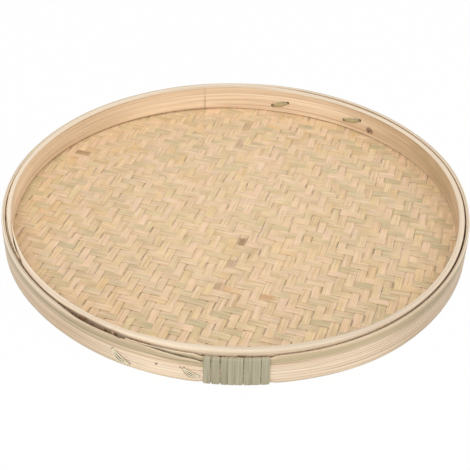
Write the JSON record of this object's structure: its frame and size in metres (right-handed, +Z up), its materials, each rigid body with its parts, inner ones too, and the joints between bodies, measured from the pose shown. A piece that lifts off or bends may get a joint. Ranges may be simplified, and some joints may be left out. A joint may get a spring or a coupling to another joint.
{
  "type": "bamboo tray basket",
  "caption": "Round shallow bamboo tray basket with a twill-woven floor clamped between bent hoops, bound at the front lap.",
  "frame": {"origin": "on the ground at the middle of the tray, under the centre of the rim", "axes": "+Z up, out of the tray; -Y towards the bound lap of the outer hoop; +X to the right seen from there"},
  "size_m": [0.3993, 0.4017, 0.0317],
  "materials": {
    "outer_hoop": "split bamboo, satin, green skin at the top edge",
    "inner_hoop": "scraped bamboo, satin, pale",
    "woven_mat": "woven bamboo splints, satin",
    "mat_edge": "trimmed splint ends, rough and brown",
    "green_strip": "pale green bamboo skin strip, satin"
  },
  "bodies": {
    "root": {"outer_hoop": "outer_hoop", "inner_hoop": "inner_hoop", "woven_floor": "woven_mat", "turned_up_edge": "mat_edge", "splice_binding": "green_strip", "lace_front_left": "green_strip", "lace_front": "green_strip", "lace_back": "green_strip", "lace_back_right": "green_strip"}
  },
  "joints": []
}
